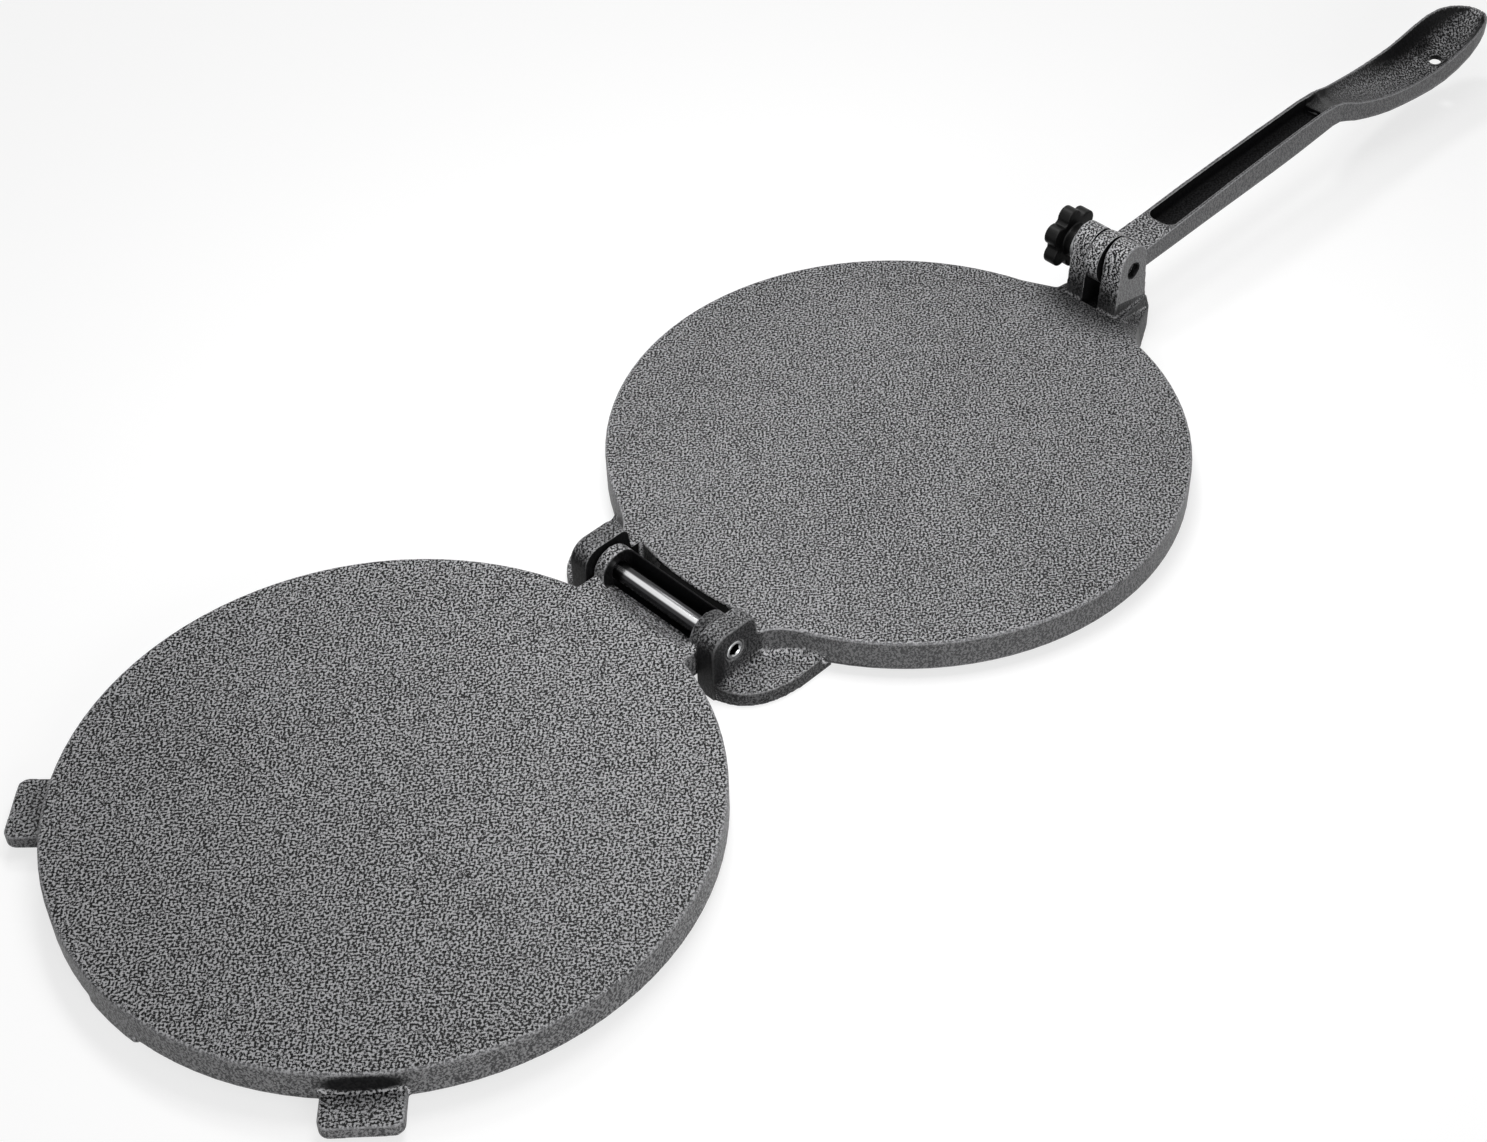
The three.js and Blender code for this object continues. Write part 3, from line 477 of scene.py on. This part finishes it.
def inBaseRecess(middle, normal):
    # The clevis's slot, the gap that the lid's barrel turns in, and the faces of the hinge ears towards it, where
    # shade is painted near black
    inSlot = (abs(middle.y) < baseLook["slotHalfMm"] * mm and middle.x > leverAxis.x - baseLook["slotStartMm"] * mm
              and middle.z > faceHeight - baseLook["slotFloorMm"] * mm and normal.x > baseLook["slotFacing"])
    byHinge = abs(middle.y) < baseLook["earFaceMm"] * mm and abs(middle.x - hingeAxis.x) < baseLook["gapEndMm"] * mm
    inGap = byHinge and middle.z < faceHeight - baseLook["lipMm"] * mm
    onEarFace = (byHinge and normal.y * middle.y < -baseLook["earFacing"] * abs(middle.y)
                 and middle.z < faceHeight + baseLook["earTopMm"] * mm)
    return inSlot or inGap or onEarFace


def inMouth(middle, normal):
    # The open end of the thread in the near ear, countersunk, with the shade in it painted near black
    away = math.hypot(middle.x - leverAxis.x, middle.z - leverAxis.z)
    return away < baseLook["mouthMm"] * mm and middle.y < baseLook["mouthYMm"] * mm


def onClevis(middle, normal):
    return (middle.x > leverAxis.x - baseLook["clevisHalfMm"] * mm
            and middle.z > faceHeight + baseLook["clevisFootMm"] * mm)


def inShade(middle, normal):
    # The hinge ears, the wings and the outward sides of the bracket, where shade is painted dark on the sides
    onHinge = middle.x < hingeAxis.x + baseLook["hingeEndMm"] * mm
    onWing = middle.x < hingeAxis.x + baseLook["wingEndMm"] * mm and middle.z < baseLook["wingTopMm"] * mm
    onBracket = (middle.x > leverAxis.x - baseLook["bracketEndMm"] * mm and normal.y * middle.y > 0
                 and middle.z < faceHeight - baseLook["bracketTopMm"] * mm)
    return onHinge or onWing or onBracket


paint(basePlate, 2, onClevis)
paint(basePlate, 3, inShade)
paint(basePlate, 1, inBaseRecess)
paint(basePlate, 1, inMouth)
print("base ready", len(basePlate.data.polygons))


# Lid: the upper platen with its barrel, tabs, ribs and boss

lidLook = {
    "voxelMm": 0.5, "smoothing": 4, "triangles": 190000,
    "pocketHalfMm": 25.2, "slopeMm": 9, "wallMm": 4.2, "bandMm": 2.5, "barrelEndMm": 30, "barrelMm": 10,
    "endFacing": 0.7,
}
lidPlate = castSkin("lid_plate", "lidPlate", lidLook)
markBends(lidPlate)
finishPiece(lidPlate, "lid", [castEnamel, recessEnamel, bowlEnamel], ["lid_plate"])


def inPocket(middle, normal):
    # Between the ends of the barrel, where it is cut away and the pin shows
    return abs(middle.y) < lidLook["pocketHalfMm"] * mm and middle.x > hingeAxis.x - lidLook["slopeMm"] * mm


def inLidRecess(middle, normal):
    away = Vector((middle.x - hingeAxis.x, 0, middle.z - hingeAxis.z))
    onWall = inPocket(middle, normal) and away.x > -lidLook["wallMm"] * mm and normal.dot(away) < 0
    onBand = inPocket(middle, normal) and away.x > lidLook["bandMm"] * mm
    onEnd = (abs(middle.y) > lidLook["barrelEndMm"] * mm and away.length < lidLook["barrelMm"] * mm
             and normal.y * middle.y > lidLook["endFacing"] * abs(middle.y))
    return onWall or onBand or onEnd


# Painted shade: the pocket in the bowl's dark look, and near black on its walls, beyond the pin and on the barrel's
# ends
paint(lidPlate, 2, inPocket)
paint(lidPlate, 1, inLidRecess)
print("lid ready", len(lidPlate.data.polygons))


# Lever: the eye, the channelled arm and the dished grip. Lengths along it are from the pivot

leverLook = {
    "voxelMm": 0.3, "smoothing": 8, "triangles": 190000,
    "eyeHalfMm": 4.4, "eyeEndMm": 12, "eyeSideEndMm": 14, "eyeFacing": 0.7,
    "channelStartMm": 36, "channelEndMm": 162, "bowlEndMm": 307,
    "rimMm": 1.1, "rimSearch": 1.5, "rimDropMm": 0.5, "rimFacing": 0.2,
    "dishStartMm": 166, "dishEaseMm": 6, "dishPower": 2.6, "dishSmoothing": 30, "dishFacing": 0.3,
    "bedShare": 0.7, "levelReach": 3, "halfReach": 2, "holeMm": 273, "holeClearMm": 4.4,
}
lever = castSkin("lever", "lever", leverLook)
finishPiece(
    lever, "lever", [armEnamel, recessEnamel, bowlEnamel, shinyEnamel, rimEnamel], ["lever"])


def stepOf(place):
    # Which millimetre along the press a place is in
    return int(place.x // mm)


def outlineAlong(piece):
    # The piece's half width and its rim's height, at each millimetre along it
    halves, tops = {}, {}
    for vertex in piece.data.vertices:
        key = stepOf(vertex.co)
        halves[key] = max(halves.get(key, 0), abs(vertex.co.y))
    for vertex in piece.data.vertices:
        key = stepOf(vertex.co)
        if abs(vertex.co.y) > halves[key] - leverLook["rimSearch"] * leverLook["rimMm"] * mm:
            tops[key] = max(tops.get(key, 0), vertex.co.z)
    return halves, tops


leverHalves, leverTops = outlineAlong(lever)


def insideRim(place, drop):
    key = stepOf(place)
    return abs(place.y) < leverHalves[key] - leverLook["rimMm"] * mm and place.z < leverTops.get(key, 0) - drop


def inHollow(middle, normal):
    inReach = middle.x < leverAxis.x + leverLook["bowlEndMm"] * mm
    turned = normal.z > leverLook["rimFacing"] or normal.y * middle.y < 0
    return inReach and turned and insideRim(middle, leverLook["rimDropMm"] * mm)


def inChannel(middle, normal):
    # The channel, and the sides of the eye between the clevis ears, where shade is painted near black
    along = (middle.x - leverAxis.x) / mm
    inEye = (along < leverLook["eyeSideEndMm"] and abs(middle.y) < leverLook["eyeHalfMm"] * mm
             and normal.y * middle.y > leverLook["eyeFacing"] * abs(middle.y))
    return inEye or (leverLook["channelStartMm"] < along < leverLook["channelEndMm"] and inHollow(middle, normal))


def inBowl(middle, normal):
    return middle.x > leverAxis.x + leverLook["channelEndMm"] * mm and inHollow(middle, normal)


def onEye(middle, normal):
    return middle.x < leverAxis.x + leverLook["eyeEndMm"] * mm


def onRim(middle, normal):
    return middle.x > leverAxis.x + leverLook["channelStartMm"] * mm and normal.z > leverLook["rimFacing"]


def inDish(place, normal):
    along = (place.x - leverAxis.x) / mm
    turned = normal.z > leverLook["dishFacing"] or normal.y * place.y < 0
    return along > leverLook["dishStartMm"] and turned and insideRim(place, 0)


def holeDistance(place):
    return math.hypot((place.x - leverAxis.x) / mm - leverLook["holeMm"], place.y / mm)


def evenOut(levels, reach):
    # Each level as the mean of those beside it
    even = {}
    for key in levels:
        near = [levels[k] for k in range(key - reach, key + reach + 1) if k in levels]
        even[key] = sum(near) / len(near)
    return even


def levelAt(levels, x):
    # The level between the middles of two steps
    key = math.floor(x / mm - 0.5)
    share = x / mm - 0.5 - key
    low = levels.get(key, levels.get(key + 1))
    return low + (levels.get(key + 1, low) - low) * share


def roundDish(piece):
    # Turns the bowl's flat floor and steep walls into one rounded hollow of the same depth
    beds = {}
    inner = [v for v in piece.data.vertices if inDish(v.co, v.normal)]
    for vertex in inner:
        key = stepOf(vertex.co)
        if (abs(vertex.co.y) < leverLook["bedShare"] * leverHalves[key]
                and holeDistance(vertex.co) > leverLook["holeClearMm"]):
            beds[key] = min(beds.get(key, 1), vertex.co.z)
    beds = evenOut(beds, leverLook["levelReach"])
    rims = evenOut(leverTops, leverLook["levelReach"])
    halves = evenOut(leverHalves, leverLook["halfReach"])
    for vertex in inner:
        if stepOf(vertex.co) not in beds:
            continue
        half = levelAt(halves, vertex.co.x) - leverLook["rimMm"] * mm
        out = min(1, abs(vertex.co.y) / half)
        bed = levelAt(beds, vertex.co.x)
        rise = (levelAt(rims, vertex.co.x) - bed) * out ** leverLook["dishPower"]
        start = min(1, max(0, (vertex.co.x - leverAxis.x) / mm - leverLook["dishStartMm"]) / leverLook["dishEaseMm"])
        clear = min(1, max(0, holeDistance(vertex.co) - leverLook["holeClearMm"]) / leverLook["dishEaseMm"])
        vertex.co.z += (bed + rise - vertex.co.z) * start * clear


roundDish(lever)
dish = lever.vertex_groups.new(name="dish")
dish.add([v.index for v in lever.data.vertices
          if inDish(v.co, v.normal) and holeDistance(v.co) > leverLook["holeClearMm"]], 1, "REPLACE")
applyModifier(lever, "SMOOTH", {
    "factor": meshLook["smoothShare"], "iterations": leverLook["dishSmoothing"], "vertex_group": "dish"})
markBends(lever)
paint(lever, 3, onEye)
paint(lever, 4, onRim)
paint(lever, 1, inChannel)
paint(lever, 2, inBowl)
print("lever ready", len(lever.data.polygons))


# Hinge pin: a ground rod with chamfered ends

pinLook = {"edgeMm": 0.5, "edgeSteps": 2, "sides": 96}
low, high = (Vector(corner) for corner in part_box("hinge_pin"))
hingePin = roundBar("hingePin", (high.z - low.z) / 2, low.y, high.y, hingeAxis, pinLook["sides"])
breakEdges(hingePin, pinLook)
smoothByAngle(hingePin, meshLook["smoothAngle"])
finishPiece(hingePin, "base", pinSteel, ["hinge_pin"])
print("hinge pin ready")


# Set screws that shut the bore: a hex socket with a countersunk mouth in a chamfered end

screwLook = {
    "acrossMm": 5, "depthMm": 3.5, "mouthMm": 0.7, "mouthShift": 0.4, "paintGapMm": 0.1, "edgeMm": 0.45,
    "edgeSteps": 3, "sides": 72,
}


def makeSetScrew(nodeName, name, side):
    low, high = (Vector(corner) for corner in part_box(nodeName))
    radius = (high.z - low.z) / 2
    face = high.y if side > 0 else low.y
    screw = roundBar(name, radius, low.y, high.y, hingeAxis, screwLook["sides"])
    breakEdges(screw, screwLook)
    corner = screwLook["acrossMm"] * mm / math.sqrt(3)
    floor = face - side * screwLook["depthMm"] * mm
    past = face + side * meshLook["pastMm"] * mm
    cutAway(screw, roundBar("socket", corner, min(floor, past), max(floor, past), hingeAxis, 6))
    deselectAll()
    mouth = screwLook["mouthMm"] * mm
    bpy.ops.mesh.primitive_cone_add(
        vertices=screwLook["sides"], radius1=corner - mouth, radius2=corner + mouth, depth=2 * mouth,
        location=(hingeAxis.x, face - side * screwLook["mouthShift"] * mouth, hingeAxis.z),
        rotation=(-side * math.pi / 2, 0, 0))
    mouthCutter = bpy.context.object
    settle(mouthCutter)
    cutAway(screw, mouthCutter)
    smoothByAngle(screw, meshLook["smoothAngle"])
    finishPiece(screw, "base", [platedSteel, socketShadeSteel], [nodeName])

    # The socket's faces below its mouth, painted dark as the shade in the socket
    def inSocket(middle, normal):
        deep = abs(middle.y - face)
        return ((screwLook["mouthMm"] + screwLook["paintGapMm"]) * mm < deep
                < (screwLook["depthMm"] + screwLook["paintGapMm"]) * mm
                and math.hypot(middle.x - hingeAxis.x, middle.z - hingeAxis.z) < corner)

    paint(screw, 1, inSocket)


makeSetScrew("pin_screw_near", "nearSetScrew", -1)
makeSetScrew("pin_screw_far", "farSetScrew", 1)
print("set screws ready")


# Knob: a star head moulded in one with its hub

knobLook = {
    "lobes": 6, "turn": 32, "lobeMm": 4.9, "discMm": 11.6, "headMm": 6.5, "hubMm": 8, "capMm": 6.5, "capDeepMm": 0.9,
    "sides": 96, "lobeSides": 48, "voxelMm": 0.28, "smoothing": 9, "triangles": 90000,
}
low, high = (Vector(corner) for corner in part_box("knob_head"))
knobReach = (high.z - low.z) / 2
headNear = high.y - knobLook["headMm"] * mm
past = meshLook["pastMm"] * mm
star = [
    roundBar("knobHead", knobLook["discMm"] * mm, headNear, high.y, leverAxis, knobLook["sides"]),
    roundBar("hub", knobLook["hubMm"] * mm, low.y, headNear + past, leverAxis, knobLook["sides"]),
]
for i in range(knobLook["lobes"]):
    angle = math.radians(knobLook["turn"]) + i * 2 * math.pi / knobLook["lobes"]
    out = knobReach - knobLook["lobeMm"] * mm
    centre = leverAxis + Vector((out * math.cos(angle), 0, out * math.sin(angle)))
    star.append(roundBar("lobe", knobLook["lobeMm"] * mm, headNear, high.y, centre, knobLook["lobeSides"]))
deselectAll()
for part in star:
    part.select_set(True)
bpy.context.view_layer.objects.active = star[0]
bpy.ops.object.join()
knobHead = bpy.context.object
applyModifier(knobHead, "REMESH", {"mode": "VOXEL", "voxel_size": knobLook["voxelMm"] * mm})
cutAway(knobHead, roundBar(
    "cap", knobLook["capMm"] * mm, high.y - knobLook["capDeepMm"] * mm, high.y + past, leverAxis, knobLook["sides"]))
soften(knobHead, knobLook)
pick(knobHead)
bpy.ops.object.shade_smooth()
finishPiece(knobHead, "knob", knobPlastic, ["knob_head"])
print("knob ready", len(knobHead.data.polygons))


# Stud: a rolled thread over its whole length. Subdivide makes no more than 100 cuts, which is 3.6 rows to a turn, so
# the thread is coarse

studLook = {"pitchMm": 1.25, "threadMm": 0.55, "sides": 48, "cuts": 100, "smoothAngle": 40}
low, high = (Vector(corner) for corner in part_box("knob_stud"))
stud = roundBar("stud", (high.z - low.z) / 2, low.y, high.y, leverAxis, studLook["sides"])
pick(stud)
bpy.ops.object.mode_set(mode="EDIT")
bpy.ops.mesh.select_mode(type="EDGE")
bpy.ops.mesh.select_all(action="DESELECT")
bpy.ops.object.mode_set(mode="OBJECT")
for edge in stud.data.edges:
    # Only the edges along the stud
    ends = [stud.data.vertices[i].co.y for i in edge.vertices]
    edge.select = abs(ends[0] - ends[1]) > mm
bpy.ops.object.mode_set(mode="EDIT")
bpy.ops.mesh.subdivide(number_cuts=studLook["cuts"])
bpy.ops.object.mode_set(mode="OBJECT")
for vertex in stud.data.vertices:
    across = Vector((vertex.co.x - leverAxis.x, 0, vertex.co.z - leverAxis.z))
    turn = math.atan2(across.z, across.x) / (2 * math.pi)
    along = (vertex.co.y / (studLook["pitchMm"] * mm) + turn) % 1
    groove = studLook["threadMm"] * mm * abs(2 * along - 1)
    vertex.co -= across.normalized() * groove
smoothByAngle(stud, studLook["smoothAngle"])
finishPiece(stud, "knob", platedSteel, ["knob_stud"])
print("stud ready", len(stud.data.polygons))


# Washer: stamped from sheet, so its edges are a little rounded

washerLook = {"boreMm": 4.3, "edgeMm": 0.25, "edgeSteps": 3, "sides": 96, "boreSides": 64}
low, high = (Vector(corner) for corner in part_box("knob_washer"))
washer = roundBar("washer", (high.z - low.z) / 2, low.y, high.y, leverAxis, washerLook["sides"])
cutAway(washer, roundBar(
    "bore", washerLook["boreMm"] * mm, low.y - past, high.y + past, leverAxis, washerLook["boreSides"]))
breakEdges(washer, washerLook)
smoothByAngle(washer, meshLook["smoothAngle"])
finishPiece(washer, "washer", platedSteel, ["knob_washer"])
print("washer ready")


# Camera: at the photo's place, worked out from the outlines of the two round platens

cameraLook = {
    "place": (-0.64335, -0.5512, 0.7327), "azimuth": 41.52, "down": 43.95, "roll": 1.54,
    "focalPx": 2522.3, "middlePx": (894.8, 583.0), "imagePx": (1487, 1142), "sensorMm": 36, "nearestM": 0.01,
}


def addCamera(look):
    azimuth, down, roll = (math.radians(look[k]) for k in ("azimuth", "down", "roll"))
    ahead = Vector((math.cos(down) * math.cos(azimuth), math.cos(down) * math.sin(azimuth), -math.sin(down)))
    level = Vector((math.sin(azimuth), -math.cos(azimuth), 0))
    up = level.cross(ahead)
    right = level * math.cos(roll) + up * math.sin(roll)
    top = up * math.cos(roll) - level * math.sin(roll)
    camera = bpy.data.objects.new("camera", bpy.data.cameras.new("camera"))
    scene.collection.objects.link(camera)
    camera.matrix_world = Matrix.Translation(look["place"]) @ Matrix((right, top, -ahead)).transposed().to_4x4()
    width, height = look["imagePx"]
    camera.data.sensor_width = look["sensorMm"]
    camera.data.lens = look["focalPx"] / width * camera.data.sensor_width
    camera.data.shift_x = (width / 2 - look["middlePx"][0]) / width
    camera.data.shift_y = (look["middlePx"][1] - height / 2) / width
    camera.data.clip_start = look["nearestM"]
    scene.camera = camera


addCamera(cameraLook)


# Floor, backdrop and light

floorLook = {
    "metres": 12, "colour": "#a0a0a0", "roughness": 0.9, "gloss": 0.1, "lift": 0.7, "bounce": "#d8d8d8"}


def seenDirectly(tree):
    # 1 for the rays that see the white background itself, also through a reflection or glass
    rays = addNode(tree, "ShaderNodeLightPath")
    bright = addNode(tree, "ShaderNodeMath", {"operation": "ADD"}, {
        0: rays.outputs["Is Camera Ray"], 1: rays.outputs["Is Glossy Ray"]})
    return addNode(tree, "ShaderNodeMath", {"operation": "ADD", "use_clamp": True}, {
        0: bright.outputs["Value"], 1: rays.outputs["Is Transmission Ray"]}).outputs["Value"]


def addFloor(look):
    # Pale matt paint, lifted towards white where it is seen, so that it still takes the press's shadow
    deselectAll()
    bpy.ops.mesh.primitive_plane_add(size=look["metres"], location=(0, 0, 0))
    floor = bpy.context.object
    floor.name = "floor"
    material, tree, shader, coord = newMaterial("paintedFloor")
    tree.nodes.remove(coord)
    shader.inputs["Base Color"].default_value = linear(look["colour"])
    shader.inputs["Roughness"].default_value = look["roughness"]
    shader.inputs["Specular IOR Level"].default_value = look["gloss"]
    lift = addNode(tree, "ShaderNodeEmission", inputs={"Color": (1, 1, 1, 1), "Strength": look["lift"]})
    both = addNode(tree, "ShaderNodeAddShader", inputs={0: shader.outputs["BSDF"], 1: lift.outputs["Emission"]})
    bounce = addNode(tree, "ShaderNodeBsdfDiffuse", inputs={"Color": linear(look["bounce"])})
    choice = addNode(tree, "ShaderNodeMixShader", inputs={
        0: seenDirectly(tree), 1: bounce.outputs["BSDF"], 2: both.outputs["Shader"]})
    output = next(n for n in tree.nodes if n.type == "OUTPUT_MATERIAL")
    tree.links.new(choice.outputs["Shader"], output.inputs["Surface"])
    floor.data.materials.append(material)


lightLook = {
    "roomStrength": 0.26,
    "key": {"watts": 6, "metres": 0.35, "spread": 180, "place": (0.4, 0.77, 1.4), "target": (0, 0, 0)},
    "top": {"watts": 0.82, "metres": 0.3, "spread": 100, "place": (-0.08, 0, 0.6), "target": (-0.08, -0.02, 0)},
    "side": {"watts": 10, "metres": 0.9, "spread": 180, "place": (-0.75, -1.35, 0.5), "target": (0, 0, 0)},
}


def addLamp(name, look):
    lamp = bpy.data.objects.new(name, bpy.data.lights.new(name, "AREA"))
    lamp.data.shape = "DISK"
    lamp.data.size = look["metres"]
    lamp.data.energy = look["watts"]
    lamp.data.spread = math.radians(look["spread"])
    lamp.location = look["place"]
    lamp.rotation_euler = (Vector(look["target"]) - Vector(look["place"])).to_track_quat("-Z", "Y").to_euler()
    scene.collection.objects.link(lamp)


def addRoom(look):
    world = bpy.data.worlds.new("room")
    scene.world = world
    world.use_nodes = True
    tree = world.node_tree
    tree.nodes.clear()
    room = addNode(tree, "ShaderNodeBackground", inputs={"Color": (1, 1, 1, 1), "Strength": look["roomStrength"]})
    white = addNode(tree, "ShaderNodeBackground", inputs={"Color": (1, 1, 1, 1), "Strength": 1})
    choice = addNode(tree, "ShaderNodeMixShader", inputs={
        0: seenDirectly(tree), 1: room.outputs["Background"], 2: white.outputs["Background"]})
    addNode(tree, "ShaderNodeOutputWorld", inputs={"Surface": choice.outputs["Shader"]})
    for name in ("key", "top", "side"):
        addLamp(name + "Lamp", look[name])


addFloor(floorLook)
addRoom(lightLook)
scene.view_settings.view_transform = "Standard"
print("camera, floor and light ready")
